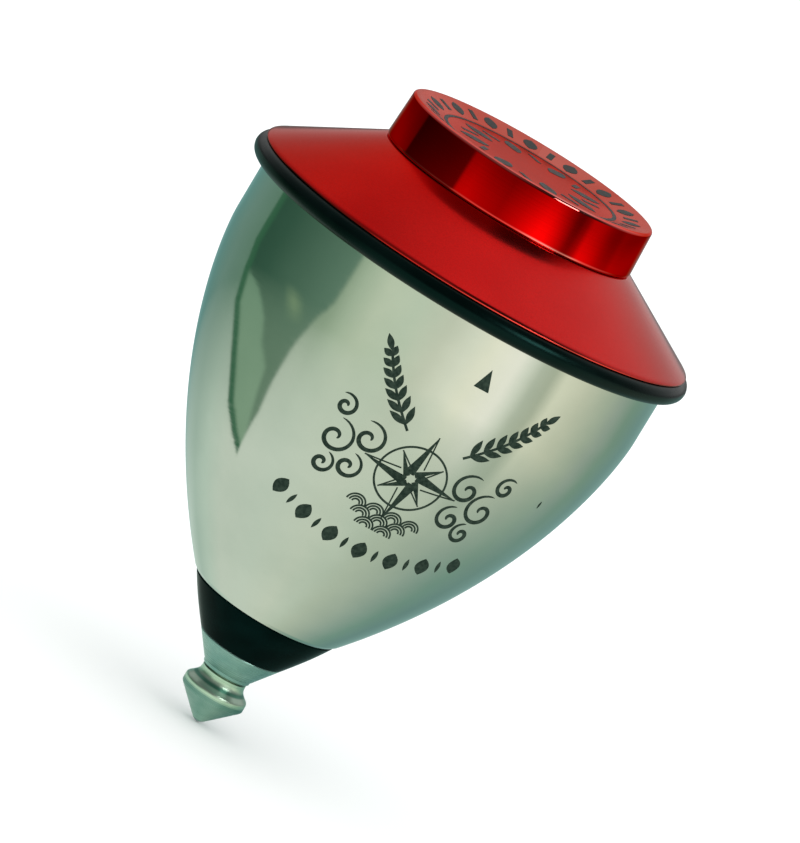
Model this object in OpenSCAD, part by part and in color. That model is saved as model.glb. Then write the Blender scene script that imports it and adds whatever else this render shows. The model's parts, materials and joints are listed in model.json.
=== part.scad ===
// Metal throwing top with a free-turning tip.
// A hollow steel body is closed by a turned aluminium crown with a grip knob, a rubber
// bumper ring sits between them, and the tip spins in two miniature ball bearings inside
// the nose. Everything is round about the Z axis. The origin is the lowest point of the
// tip, +Z runs up through the knob, and all sizes are in millimetres.

/* [Body] */
// Largest radius of the steel body
body_r = 26.2; // [25.8:0.1:26.6]
// Wall thickness of the steel body
body_wall = 1; // [0.8:0.1:1.2]
// Height of the body's mouth
mouth_z = 60.6; // [60.2:0.1:61]
// Height where the body becomes a straight cylinder
straight_z = 54.2; // [53.2:0.5:55.2]
// Radius of the body's lower edge
body_low_r = 9.3; // [9.2:0.1:9.6]
// Angle of the body's wall from the axis at its lower edge, in degrees
body_low_angle = 39.6; // [38.5:0.1:40.5]

/* [Crown] */
// Radius of the crown's rim
crown_rim_r = 27.5; // [27.35:0.05:27.65]
// Radius where the crown's slope meets its rounded rim
crown_slope_r = 26.7; // [26.3:0.05:26.8]
// Thickness of the crown's sloping wall
crown_wall = 1.9; // [1.6:0.1:2]
// Radius of the knob at its lower edge
knob_low_r = 15.9; // [15.6:0.1:16.2]
// Radius of the knob at its upper edge
knob_top_r = 15.65; // [15.3:0.05:15.7]
// Height of the knob
knob_h = 5.7; // [5.4:0.1:6.2]
// Depth of the dish in the knob's top face
dish_depth = 0.9; // [0.5:0.1:1.1]

/* [Bumper] */
// Section radius of the rubber bumper ring
bumper_rho = 1.25; // [1.15:0.05:1.3]
// Radius of the centre line of the bumper ring
bumper_r = 27; // [26.9:0.05:27.1]

/* [Nose] */
// Radius of the short neck below the nose cone
nose_low_r = 3; // [2.95:0.05:3.1]
// Radius of the seam between nose cone and collar
seam_r = 5.32; // [5.2:0.02:5.5]
// Radius of the collar's upper edge
collar_top_r = 9.2; // [9:0.05:9.25]
// Radius of the nose cone's threaded barrel
barrel_r = 4.4; // [4.3:0.05:4.45]

/* [Tip] */
// Largest radius of the tip's head
head_r = 3.95; // [3.8:0.05:4.1]
// Radius of the tip's waist
waist_r = 2.8; // [2.6:0.05:2.9]
// Radius of the rounded point of the tip
point_r = 1.1; // [0.8:0.05:1.3]

/* [Bearings] */
// Number of balls in each bearing
ball_count = 7; // [6:1:7]
// Radius of each ball
ball_r = 0.5; // [0.48:0.01:0.52]

/* [Hidden] */
$fn = 96;

// Heights of the nose group
nose_low_z = 6.65;        // lower edge of the nose's neck
neck_top_z = 7.2;         // where the neck widens into the nose cone
collar_low_z = 10.1;      // seam between nose cone and collar
collar_top_z = 15.8;      // seam between collar and body
race_low_z = 10.7;        // lower face of the lower bearing
bearing_h = 3;            // height of a bearing
spacer_h = 4;             // gap between the two bearings
barrel_top_z = 24.2;      // upper end of the nose cone's barrel
race_high_z = race_low_z + bearing_h + spacer_h;
clip_z = race_high_z + bearing_h;

// Radii of a 3 x 7 x 3 bearing
shank_r = 1.5;            // bore of the inner race
inner_land_r = 2.2;       // outside of the inner race
outer_land_r = 2.8;       // inside of the outer race
housing_r = 3.5;          // outside of the outer race
pitch_r = (inner_land_r + outer_land_r) / 2;
ball_gap = 0.02;          // running gap between a ball and its groove

// Spring rings and the shim below one of them
clip_h = 0.4;             // thickness of a spring ring
clip_depth = 0.25;        // depth of the groove it sits in
shim_h = 0.3;

// Heights and radii of the crown group
rim_z = mouth_z + 2 * bumper_rho;             // lower edge of the crown
rim_land_z = 0.15;                            // height of the crown's upright lower edge
slope_z = rim_z + 0.73;                       // where the slope meets the rounded rim
crown_slope = 0.578;                          // rise of the slope per unit of radius
knob_z = slope_z + (crown_slope_r - knob_low_r) * crown_slope;
knob_top_z = knob_z + knob_h;
crown_drop = crown_wall * sqrt(1 + pow(crown_slope, 2)); // upright thickness of the crown
thread_r = 2;                                 // M4 thread
thread_clearance = 0.1;                       // gap round a thread in a plain hole
slip_fit = 0.05;                              // gap of a close fit
disc_r = bumper_r - bumper_rho - slip_fit;    // flange that centres the bumper ring
washer_h = 0.8;
floor_t = 1.4;                                // floor of the steel body
edge = 0.3;                                   // broken edges of the inner pieces
fine_edge = 0.1;                              // broken edges of the nose

// Heights of the hub and the stud
hub_low_z = collar_top_z + floor_t;
hub_top_z = 31.2;
hub_r = 7.4;
disc_low_z = mouth_z - 2.6;
tube_r = 4;
stud_low_z = hub_top_z - 5.5;
stud_top_z = knob_z + 3.6;

// Points of a round stretch about (cx, cy), from angle a0 to angle a1.
function arc(cx, cy, r, a0, a1, n = 12) =
    [for (i = [0:n]) let (a = a0 + (a1 - a0) * i / n) [cx + r * cos(a), cy + r * sin(a)]];

// Point and unit normal of a cubic curve with end points p0, p3 and handles p1, p2.
function cubic(p, t) = pow(1 - t, 3) * p[0] + 3 * pow(1 - t, 2) * t * p[1]
    + 3 * (1 - t) * t * t * p[2] + t * t * t * p[3];
function cubic_slope(p, t) = 3 * pow(1 - t, 2) * (p[1] - p[0]) + 6 * (1 - t) * t * (p[2] - p[1])
    + 3 * t * t * (p[3] - p[2]);
function inward(v) = [-v[1], v[0]] / norm(v);

// Outline of the steel body: a curve that leaves the collar at body_low_angle and turns
// into a straight cylinder at straight_z.
low_handle = 23.6;
high_handle = 3.8;
body_curve = [
    [body_low_r, collar_top_z],
    [body_low_r + low_handle * sin(body_low_angle), collar_top_z + low_handle * cos(body_low_angle)],
    [body_r, straight_z - high_handle],
    [body_r, straight_z]
];
curve_steps = 44;
floor_gap = 0.2;          // the inner curve ends this far above the floor
floor_inset = 0.35;       // and the floor starts this far inside its end
body_outer = [for (i = [0:curve_steps]) cubic(body_curve, i / curve_steps)];
body_inner = [for (i = [curve_steps:-1:0])
    let (t = i / curve_steps, p = cubic(body_curve, t) + body_wall * inward(cubic_slope(body_curve, t)))
    if (p[1] > hub_low_z + floor_gap) p];
// Radius of the inner wall where it meets the floor
floor_r = body_inner[len(body_inner) - 1][0] - floor_inset;

// A solid turned from an outline of [radius, height] points.
module turned(points) {
    rotate_extrude() polygon(points);
}

// A plain ring or sleeve.
module sleeve(r_in, r_out, z0, z1) {
    turned([[r_in, z0], [r_out, z0], [r_out, z1], [r_in, z1]]);
}

// An open spring ring: a sleeve with a gap of the given width.
module spring_ring(r_in, r_out, z0, z1, gap, side) {
    difference() {
        sleeve(r_in, r_out, z0, z1);
        rotate([0, 0, side]) translate([0, -gap / 2, z0 - 1]) cube([r_out + 1, gap, z1 - z0 + 2]);
    }
}

module body_shell() {
    color([0.72, 0.74, 0.72])
    turned(concat(
        [[barrel_r + thread_clearance, collar_top_z]],
        body_outer,
        [[body_r, mouth_z], [body_r - body_wall, mouth_z]],
        body_inner,
        [[floor_r, hub_low_z], [barrel_r + thread_clearance, hub_low_z]]
    ));
}

// Step from the nose's neck out to the foot of its cone
neck_step = 0.2;
// Width of the groove at the seam between nose cone and collar
seam_groove = 0.12;
// Radius of the nose cone at height z.
function nose_line(z) = let (foot_r = nose_low_r + neck_step)
    foot_r + (seam_r - foot_r) * (z - neck_top_z) / (collar_low_z - neck_top_z);

// The collar's slightly bulging side, between its two broken edges.
collar_low_slope = 0.76;  // growth of the radius per unit of height
collar_top_slope = 0.56;
collar_handle = 1.9;
collar_curve = [
    [seam_r, collar_low_z],
    [seam_r + collar_handle * collar_low_slope, collar_low_z + collar_handle],
    [collar_top_r - collar_handle * collar_top_slope, collar_top_z - collar_handle],
    [collar_top_r, collar_top_z]
];
collar_steps = 12;
collar_low_cut = 0.3;     // steps of the curve that the broken lower edge takes away
collar_top_cut = 0.4;     // and the broken upper edge
collar_edge = 0.2;

module grip_collar() {
    color([0.06, 0.06, 0.07])
    turned(concat(
        [[barrel_r, collar_low_z], [seam_r - seam_groove, collar_low_z]],
        [for (i = [collar_low_cut, each [1:collar_steps - 1], collar_steps - collar_top_cut])
            cubic(collar_curve, i / collar_steps)],
        [[collar_top_r - collar_edge, collar_top_z], [barrel_r, collar_top_z]]
    ));
}

// The nose cone carries both bearings in its barrel, which screws into the hub.
module nose_cone() {
    lip_r = 2.4;
    neck_growth = 0.04;
    step_h = 0.12;
    groove_r = housing_r + clip_depth;
    color([0.62, 0.66, 0.65])
    turned([
        [lip_r, nose_low_z],
        [nose_low_r - fine_edge, nose_low_z],
        [nose_low_r, nose_low_z + fine_edge],
        [nose_low_r + neck_growth, neck_top_z - step_h],
        [nose_line(neck_top_z), neck_top_z],
        [nose_line(collar_low_z - fine_edge), collar_low_z - fine_edge],
        [seam_r - seam_groove, collar_low_z],
        [barrel_r, collar_low_z],
        [barrel_r, barrel_top_z - edge],
        [barrel_r - edge, barrel_top_z],
        [housing_r, barrel_top_z],
        [housing_r, clip_z + clip_h],
        [groove_r, clip_z + clip_h],
        [groove_r, clip_z],
        [housing_r, clip_z],
        [housing_r, race_low_z],
        [lip_r, race_low_z]
    ]);
}

// The hub stands on the floor of the steel body and takes the barrel and the stud.
module lower_hub() {
    color([0.78, 0.79, 0.8])
    turned([
        [barrel_r, hub_low_z],
        [hub_r - edge, hub_low_z],
        [hub_r, hub_low_z + edge],
        [hub_r, hub_top_z - edge],
        [hub_r - edge, hub_top_z],
        [thread_r, hub_top_z],
        [thread_r, stud_low_z],
        [barrel_r, stud_low_z]
    ]);
}

module centre_stud() {
    color([0.6, 0.6, 0.58])
    turned([
        [0, stud_low_z],
        [thread_r - edge, stud_low_z],
        [thread_r, stud_low_z + edge],
        [thread_r, stud_top_z - edge],
        [thread_r - edge, stud_top_z],
        [0, stud_top_z]
    ]);
}

module support_tube() {
    color([0.8, 0.81, 0.82]) sleeve(thread_r + thread_clearance, tube_r, hub_top_z, disc_low_z);
}

// The rim disc plugs the mouth of the body and centres the bumper ring on its flange.
module rim_disc() {
    boss_r = 6;
    spigot_r = body_r - body_wall - slip_fit;
    wall = 2;
    web_h = 2;
    web_z = rim_z - web_h;
    color([0.8, 0.81, 0.82])
    turned([
        [thread_r + thread_clearance, disc_low_z],
        [boss_r, disc_low_z],
        [boss_r, web_z],
        [spigot_r - wall, web_z],
        [spigot_r - wall, disc_low_z],
        [spigot_r, disc_low_z],
        [spigot_r, mouth_z],
        [disc_r, mouth_z],
        [disc_r, rim_z],
        [thread_r + thread_clearance, rim_z]
    ]);
}

module disc_washer() {
    washer_r = 4.5;
    color([0.7, 0.7, 0.68]) sleeve(thread_r + thread_clearance, washer_r, rim_z, rim_z + washer_h);
}

module disc_nut() {
    across_flats = 7;
    nut_h = 3;
    color([0.7, 0.68, 0.6])
    translate([0, 0, rim_z + washer_h])
    difference() {
        cylinder(r = across_flats / 2 / cos(30), h = nut_h, $fn = 6);
        translate([0, 0, -1]) cylinder(r = thread_r, h = nut_h + 2);
    }
}

module bumper_ring() {
    color([0.05, 0.05, 0.05])
    rotate_extrude() translate([bumper_r, mouth_z + bumper_rho]) circle(r = bumper_rho, $fn = 40);
}

// The rounded rim of the crown, from the end of the slope to the rim's land.
rim_w = crown_rim_r - crown_slope_r;
rim_lean = 0.4;           // how far the curve follows the slope, as a share of rim_w
rim_bulge = 0.9;          // where it turns down, as a share of rim_w
rim_handle = 0.2;         // and how high above the land
crown_rim = [
    [crown_slope_r, slope_z],
    [crown_slope_r + rim_lean * rim_w, slope_z - rim_lean * rim_w * crown_slope],
    [crown_slope_r + rim_bulge * rim_w, rim_z + rim_land_z + rim_handle],
    [crown_rim_r, rim_z + rim_land_z]
];

module crown_cap() {
    rim_steps = 10;
    foot_edge = 0.05;
    seat_w = 3;
    seat_r = disc_r - seat_w;
    seat_z = slope_z + (crown_slope_r - seat_r) * crown_slope - crown_drop;
    ceiling_z = knob_z - crown_drop;
    color([0.72, 0.06, 0.06])
    turned(concat(
        [[thread_r + thread_clearance, knob_z], [knob_low_r, knob_z]],
        [for (i = [0:rim_steps]) cubic(crown_rim, i / rim_steps)],
        [[crown_rim_r, rim_z + foot_edge], [crown_rim_r - foot_edge, rim_z], [seat_r, rim_z]],
        [[seat_r, seat_z], [knob_low_r, ceiling_z], [thread_r + thread_clearance, ceiling_z]]
    ));
}

// The knob screws on the stud and clamps the crown. Its top face slopes down from a narrow
// flat rim to a flat middle.
module crown_knob() {
    round_r = 0.35;
    land_r = 14.9;
    dish_r = 11.3;
    color([0.8, 0.03, 0.03])
    turned(concat(
        [[0, stud_top_z], [thread_r, stud_top_z], [thread_r, knob_z]],
        arc(knob_low_r - round_r, knob_z + round_r, round_r, -90, 0, 4),
        arc(knob_top_r - round_r, knob_top_z - round_r, round_r, 0, 90, 5),
        [[land_r, knob_top_z], [dish_r, knob_top_z - dish_depth], [0, knob_top_z - dish_depth]]
    ));
}

// The tip: a 45 degree cone with a rounded point, a rounded head, a hollow waist, and a
// shank that runs through both bearings.
module swivel_tip() {
    head_round = 0.4;
    head_flat = 0.65;
    shoulder_round = 0.5;
    shoulder_angle = 50;
    head_z = head_r + (head_round - point_r) * (sqrt(2) - 1);
    shoulder = arc(head_r - shoulder_round, head_z + head_flat, shoulder_round, 0, shoulder_angle, 4);
    last = shoulder[len(shoulder) - 1];
    running_gap = 0.25;
    waist_top_z = nose_low_z - running_gap;
    waist_flat = 0.2;
    waist_handle = 0.75;
    waist_steps = 8;
    waist_curve = [
        last,
        last + waist_handle * [-sin(shoulder_angle), cos(shoulder_angle)],
        [waist_r, waist_top_z - waist_flat - waist_handle],
        [waist_r, waist_top_z - waist_flat]
    ];
    neck_r = 2.05;
    shank_end = 1.4;
    shank_edge = 0.2;
    shank_top_z = clip_z + shank_end;
    groove_r = shank_r - clip_depth;
    groove_z = clip_z + shim_h;
    color([0.66, 0.7, 0.69])
    turned(concat(
        arc(0, point_r, point_r, -90, -45, 6),
        arc(head_r - head_round, head_z, head_round, -45, 0, 3),
        shoulder,
        [for (i = [1:waist_steps]) cubic(waist_curve, i / waist_steps)],
        [[waist_r, waist_top_z], [neck_r, waist_top_z], [neck_r, race_low_z], [shank_r, race_low_z]],
        [[shank_r, groove_z], [groove_r, groove_z]],
        [[groove_r, groove_z + clip_h], [shank_r, groove_z + clip_h]],
        [[shank_r, shank_top_z - shank_edge], [shank_r - shank_edge, shank_top_z], [0, shank_top_z]]
    ));
}

module tip_shim() {
    shim_r = 2.15;
    color([0.7, 0.7, 0.68]) sleeve(shank_r, shim_r, clip_z, clip_z + shim_h);
}

module tip_circlip() {
    ring_r = 2.35;
    gap = 1.6;
    z = clip_z + shim_h;
    color([0.3, 0.3, 0.32]) spring_ring(shank_r - clip_depth, ring_r, z, z + clip_h, gap, 0);
}

module bearing_circlip() {
    ring_r = 2.95;
    gap = 2;
    color([0.3, 0.3, 0.32]) spring_ring(ring_r, housing_r + clip_depth, clip_z, clip_z + clip_h, gap, 180);
}

module inner_spacer() {
    spacer_r = 2.1;
    color([0.75, 0.75, 0.74]) sleeve(shank_r, spacer_r, race_low_z + bearing_h, race_high_z);
}

module outer_spacer() {
    spacer_r = 3;
    color([0.75, 0.75, 0.74]) sleeve(spacer_r, housing_r, race_low_z + bearing_h, race_high_z);
}

// Groove that the balls of a bearing run in.
module ball_groove() {
    rotate_extrude() translate([pitch_r, bearing_h / 2]) circle(r = ball_r + ball_gap, $fn = 32);
}

module inner_race(z) {
    color([0.8, 0.8, 0.79])
    translate([0, 0, z]) difference() {
        sleeve(shank_r, inner_land_r, 0, bearing_h);
        ball_groove();
    }
}

module outer_race(z) {
    color([0.8, 0.8, 0.79])
    translate([0, 0, z]) difference() {
        sleeve(outer_land_r, housing_r, 0, bearing_h);
        ball_groove();
    }
}

// A ring of balls of radius r, on the pitch circle of a bearing.
module ball_ring(z, r) {
    for (i = [0:ball_count - 1])
        rotate([0, 0, i * 360 / ball_count])
        translate([pitch_r, 0, z + bearing_h / 2])
        sphere(r = r, $fn = 32);
}

module balls(z) {
    color([0.85, 0.85, 0.85]) ball_ring(z, ball_r);
}

module cage(z) {
    half_h = 0.85;
    race_gap = 0.14;
    pocket_gap = 0.06;
    mid_z = z + bearing_h / 2;
    color([0.75, 0.6, 0.25])
    difference() {
        sleeve(inner_land_r + race_gap, outer_land_r - race_gap, mid_z - half_h, mid_z + half_h);
        ball_ring(z, ball_r + pocket_gap);
    }
}

// The two thin shields of a bearing, one just inside each face.
module shields(z) {
    inset = 0.1;
    shield_t = 0.15;
    shield_gap = 0.1;
    color([0.7, 0.71, 0.72])
    for (z0 = [z + inset, z + bearing_h - inset - shield_t])
        sleeve(inner_land_r + shield_gap, outer_land_r, z0, z0 + shield_t);
}

module lower_inner_race() { inner_race(race_low_z); }
module lower_outer_race() { outer_race(race_low_z); }
module lower_cage() { cage(race_low_z); }
module lower_balls() { balls(race_low_z); }
module lower_shields() { shields(race_low_z); }
module upper_inner_race() { inner_race(race_high_z); }
module upper_outer_race() { outer_race(race_high_z); }
module upper_cage() { cage(race_high_z); }
module upper_balls() { balls(race_high_z); }
module upper_shields() { shields(race_high_z); }

body_shell();
grip_collar();
nose_cone();
lower_hub();
centre_stud();
support_tube();
rim_disc();
disc_washer();
disc_nut();
bumper_ring();
crown_cap();
crown_knob();
swivel_tip();
tip_shim();
tip_circlip();
inner_spacer();
outer_spacer();
bearing_circlip();
lower_inner_race();
lower_outer_race();
lower_cage();
lower_balls();
lower_shields();
upper_inner_race();
upper_outer_race();
upper_cage();
upper_balls();
upper_shields();
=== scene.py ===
"""Looks of the throwing top: turned metal skins, rubber, printed ornament, studio and camera."""
import bisect
import json
import math
import bpy
import bmesh
from mathutils import Matrix, Vector


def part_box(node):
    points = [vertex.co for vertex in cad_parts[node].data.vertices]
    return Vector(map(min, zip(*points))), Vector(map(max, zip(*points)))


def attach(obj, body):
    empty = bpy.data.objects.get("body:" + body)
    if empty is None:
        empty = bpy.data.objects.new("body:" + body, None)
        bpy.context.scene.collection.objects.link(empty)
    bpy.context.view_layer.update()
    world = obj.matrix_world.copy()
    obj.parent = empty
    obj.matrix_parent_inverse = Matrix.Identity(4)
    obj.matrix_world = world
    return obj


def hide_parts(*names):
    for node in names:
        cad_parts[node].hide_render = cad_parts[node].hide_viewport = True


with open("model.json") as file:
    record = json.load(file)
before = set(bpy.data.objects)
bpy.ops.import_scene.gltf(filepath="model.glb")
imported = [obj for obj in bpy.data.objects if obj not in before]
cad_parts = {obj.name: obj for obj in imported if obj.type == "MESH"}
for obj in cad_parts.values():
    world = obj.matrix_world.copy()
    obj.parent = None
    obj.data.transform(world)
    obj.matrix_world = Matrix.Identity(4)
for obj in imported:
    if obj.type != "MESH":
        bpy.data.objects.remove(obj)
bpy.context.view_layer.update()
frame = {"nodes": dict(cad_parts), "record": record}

MM = 0.001
TURN_STEPS = 256          # steps round a turned skin
SHARP = 24                # degrees between two stretches of an outline from which their edge is sharp


def top_of(node):
    """Height of a CAD node's highest point, in millimetres."""
    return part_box(node)[1].z / MM


def foot_of(node):
    """Height of a CAD node's lowest point, in millimetres."""
    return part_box(node)[0].z / MM


def radius_of(node):
    """Largest radius of a round CAD node, in millimetres."""
    low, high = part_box(node)
    return (high.x - low.x) / 2 / MM


# ---------------------------------------------------------------- outlines, in millimetres

def arc(cx, cz, r, a0, a1, steps=10):
    """Points of a round stretch about (cx, cz), from angle a0 to angle a1 in degrees."""
    angles = [math.radians(a0 + (a1 - a0) * i / steps) for i in range(steps + 1)]
    return [(cx + r * math.cos(a), cz + r * math.sin(a)) for a in angles]


def cubic(p, steps):
    """Points of a cubic curve with ends p[0], p[3] and handles p[1], p[2]."""
    out = []
    for i in range(steps + 1):
        t = i / steps
        s = 1 - t
        w = (s ** 3, 3 * s * s * t, 3 * s * t * t, t ** 3)
        out.append(tuple(sum(w[k] * p[k][axis] for k in range(4)) for axis in (0, 1)))
    return out


# The body's curve leaves the collar at BODY_LOW_ANGLE and becomes a cylinder at STRAIGHT_Z.
BODY_R = radius_of("body_shell")
BODY_FOOT = foot_of("body_shell")
MOUTH_Z = top_of("body_shell")
BODY_WALL = 1.0
BODY_LOW_R = 9.3
BODY_LOW_ANGLE = math.radians(39.6)
STRAIGHT_Z = 54.2
LOW_HANDLE = 23.6
HIGH_HANDLE = 3.8
BODY_CURVE = cubic([
    (BODY_LOW_R, BODY_FOOT),
    (BODY_LOW_R + LOW_HANDLE * math.sin(BODY_LOW_ANGLE),
     BODY_FOOT + LOW_HANDLE * math.cos(BODY_LOW_ANGLE)),
    (BODY_R, STRAIGHT_Z - HIGH_HANDLE),
    (BODY_R, STRAIGHT_Z),
], steps=120)
BODY_CURVE_Z = [z for r, z in BODY_CURVE]

KNOB_FOOT = foot_of("crown_knob")
KNOB_TOP = top_of("crown_knob")
KNOB_LOW_R = radius_of("crown_knob")
KNOB_TOP_R = 15.65
KNOB_ROUND = 0.35
DISH_Z = KNOB_TOP - 0.9
DISH_R = 11.3
LAND_R = 14.9
THREAD_R = 2.0
CROWN_RIM_R = radius_of("crown_cap")
CROWN_FOOT = foot_of("crown_cap")
CROWN_SLOPE = 0.578
CROWN_SLOPE_R = 26.7
CROWN_SLOPE_Z = CROWN_FOOT + 0.73
CROWN_LAND = 0.15
CROWN_WALL = 1.9

NOSE_FOOT = foot_of("nose_cone")
COLLAR_FOOT = foot_of("grip_collar")
COLLAR_TOP = top_of("grip_collar")
NECK_TOP = NOSE_FOOT + 0.55
NOSE_LOW_R = 3.0
TIP_GAP = 0.25            # between the nose and the tip, which turns
SEAM_R = 5.32
SEAM_GROOVE = 0.12
COLLAR_TOP_R = 9.2
BARREL_R = 4.4

# Heights on the tip: its dull cone ends at TIP_CONE_TOP, above which a painted highlight brightens the bead
# and waist, and a painted shade darkens the crease under its waist between TIP_CORNER_LOW and
# TIP_CORNER_HIGH. Each is where the tone starts and ends to change.
TIP_CONE_TOP = (3.9, 4.2)
TIP_CORNER_LOW = (5.00, 5.15)
TIP_CORNER_HIGH = (5.35, 5.60)


def body_radius(z):
    """Outer radius of the steel body at height z."""
    if z >= STRAIGHT_Z:
        return BODY_R
    i = max(1, min(bisect.bisect(BODY_CURVE_Z, z), len(BODY_CURVE) - 1))
    (r0, z0), (r1, z1) = BODY_CURVE[i - 1], BODY_CURVE[i]
    return r0 + (r1 - r0) * (z - z0) / (z1 - z0)


# ---------------------------------------------------------------- turned skins

def with_flats(outline, closed):
    """Adds points close to both ends of each long stretch, so that smooth shading leaves it straight."""
    margin = 0.08
    out = []
    for a, b in zip(outline, outline[1:] + (outline[:1] if closed else [])):
        out.append(a)
        length = math.dist(a, b)
        if length > 5 * margin:
            for share in (margin / length, 1 - margin / length):
                out.append(tuple(a[k] + (b[k] - a[k]) * share for k in (0, 1)))
    return out if closed else out + [outline[-1]]


def turned(name, outline, node, body, mat, closed=False):
    """A solid turned about Z from (radius, height) points, which stands for a CAD node.

    A closed outline ends where it starts; an open one starts and ends on the axis.
    """
    outline = with_flats(outline, closed)
    bm = bmesh.new()
    rings = []
    for r, z in outline:
        steps = TURN_STEPS if r > 0 else 1
        angles = [2 * math.pi * i / TURN_STEPS for i in range(steps)]
        rings.append([bm.verts.new((r * MM * math.cos(a), r * MM * math.sin(a), z * MM)) for a in angles])
    for low, high in zip(rings, rings[1:] + (rings[:1] if closed else [])):
        for i in range(TURN_STEPS):
            j = (i + 1) % TURN_STEPS
            if len(low) == 1:
                bm.faces.new((low[0], high[j], high[i]))
            elif len(high) == 1:
                bm.faces.new((low[i], low[j], high[0]))
            else:
                bm.faces.new((low[i], low[j], high[j], high[i]))
    bmesh.ops.recalc_face_normals(bm, faces=bm.faces)
    for face in bm.faces:
        face.smooth = True
    mark_corners(bm, rings, outline, closed)
    stand_for(finish_mesh(bm, name, mat), node, body)


def mark_corners(bm, rings, outline, closed):
    """Marks the edges of a ring sharp where the outline turns by more than SHARP degrees."""
    count = len(outline)
    for k in range(count):
        if len(rings[k]) == 1 or (not closed and k in (0, count - 1)):
            continue
        a, b, c = (Vector(outline[(k + d) % count]) for d in (-1, 0, 1))
        if math.degrees((b - a).angle(c - b, 0)) > SHARP:
            for i in range(TURN_STEPS):
                edge = bm.edges.get((rings[k][i], rings[k][(i + 1) % TURN_STEPS]))
                edge.smooth = False


def finish_mesh(bm, name, mat):
    """Turns a bmesh into a scene object with one material."""
    mesh = bpy.data.meshes.new(name)
    bm.to_mesh(mesh)
    bm.free()
    obj = bpy.data.objects.new(name, mesh)
    bpy.context.scene.collection.objects.link(obj)
    obj.data.materials.append(mat)
    return obj


def stand_for(obj, node, body):
    """The piece rides on its body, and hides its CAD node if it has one."""
    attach(obj, body)
    if node:
        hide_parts(node)


# ---------------------------------------------------------------- material parts

class Nodes:
    """A material with short calls for the nodes that the looks share."""

    def __init__(self, name):
        self.material = bpy.data.materials.new(name)
        self.material.use_nodes = True
        self.tree = self.material.node_tree
        self.where = self.node("ShaderNodeTexCoord").outputs["Object"]
        axes = self.node("ShaderNodeSeparateXYZ")
        self.link(self.where, axes.inputs[0])
        self.x, self.y, self.z = axes.outputs
        x_squared = self.math("MULTIPLY", self.x, self.x)
        y_squared = self.math("MULTIPLY", self.y, self.y)
        self.radius = self.math("SQRT", self.math("ADD", x_squared, y_squared))

    def set(self, node, values):
        for key, value in values.items():
            node.inputs[key].default_value = value

    def node(self, kind, **attributes):
        made = self.tree.nodes.new(kind)
        for key, value in attributes.items():
            setattr(made, key, value)
        return made

    def link(self, a, b):
        self.tree.links.new(a, b)

    def math(self, operation, a, b=0.0):
        made = self.node("ShaderNodeMath", operation=operation)
        for socket, value in zip(made.inputs, (a, b)):
            if isinstance(value, (int, float)):
                socket.default_value = value
            else:
                self.link(value, socket)
        return made.outputs[0]

    def noise(self, scale, detail, stretch=(1, 1, 1)):
        """Grey noise in object space; scale is in features per metre."""
        mapping = self.node("ShaderNodeMapping")
        mapping.inputs["Scale"].default_value = stretch
        self.link(self.where, mapping.inputs["Vector"])
        made = self.node("ShaderNodeTexNoise")
        self.set(made, {"Scale": scale, "Detail": detail})
        self.link(mapping.outputs[0], made.inputs["Vector"])
        return made.outputs["Fac"]

    def lathe_lines(self, pitch, detail):
        """Fine rings round the axis, as a lathe or a polishing belt leaves them; pitch in metres."""
        made = self.node("ShaderNodeTexNoise", noise_dimensions="1D")
        self.set(made, {"Scale": 1 / pitch, "Detail": detail, "Roughness": 0.6})
        self.link(self.math("ADD", self.z, self.radius), made.inputs["W"])
        return made.outputs["Fac"]

    def clouds(self, noise):
        """Noise stretched to the whole range 0..1."""
        return self.remap(noise, 0.35, 0.65, 0.0, 1.0)

    def above(self, heights):
        """0 below the first height and 1 above the second, in millimetres."""
        low, high = heights
        return self.remap(self.z, low * MM, high * MM, 0.0, 1.0)

    def outside(self, low, high):
        """0 inside radius low and 1 outside radius high, in millimetres."""
        return self.remap(self.radius, low * MM, high * MM, 0.0, 1.0)

    def turn(self):
        """Direction round the axis in radians: 0 towards the camera, and positive to its right."""
        return self.math("ARCTAN2", self.x, self.math("MULTIPLY", self.y, -1.0))

    def bearing(self):
        """The same direction as 0..1, with 0.5 towards the camera."""
        return self.remap(self.turn(), -math.pi, math.pi, 0.0, 1.0)

    def ramp(self, value, stops):
        """A colour ramp from (place, colour) stops; a single number is a grey."""
        made = self.node("ShaderNodeValToRGB")
        elements = made.color_ramp.elements
        for i, (place, color) in enumerate(stops):
            stop = elements[i] if i < 2 else elements.new(place)
            stop.position = place
            stop.color = (*(color if isinstance(color, tuple) else (color,) * 3), 1)
        self.link(value, made.inputs["Fac"])
        return made.outputs["Color"]

    def remap(self, value, from_low, from_high, low, high):
        made = self.node("ShaderNodeMapRange")
        self.set(made, {"From Min": from_low, "From Max": from_high, "To Min": low, "To Max": high})
        self.link(value, made.inputs["Value"])
        return made.outputs["Result"]

    def mix(self, factor, a, b):
        """A colour between a and b; a and b are colours or sockets."""
        made = self.node("ShaderNodeMix", data_type="RGBA")
        self.link(factor, made.inputs["Factor"])
        for socket, value in ((made.inputs[6], a), (made.inputs[7], b)):
            if isinstance(value, tuple):
                socket.default_value = (*value, 1)
            else:
                self.link(value, socket)
        return made.outputs[2]

    def gain(self, color, factor):
        """A colour times a factor, which may be above 1."""
        made = self.node("ShaderNodeVectorMath", operation="SCALE")
        self.link(color, made.inputs[0])
        self.link(factor, made.inputs["Scale"])
        return made.outputs[0]


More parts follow.
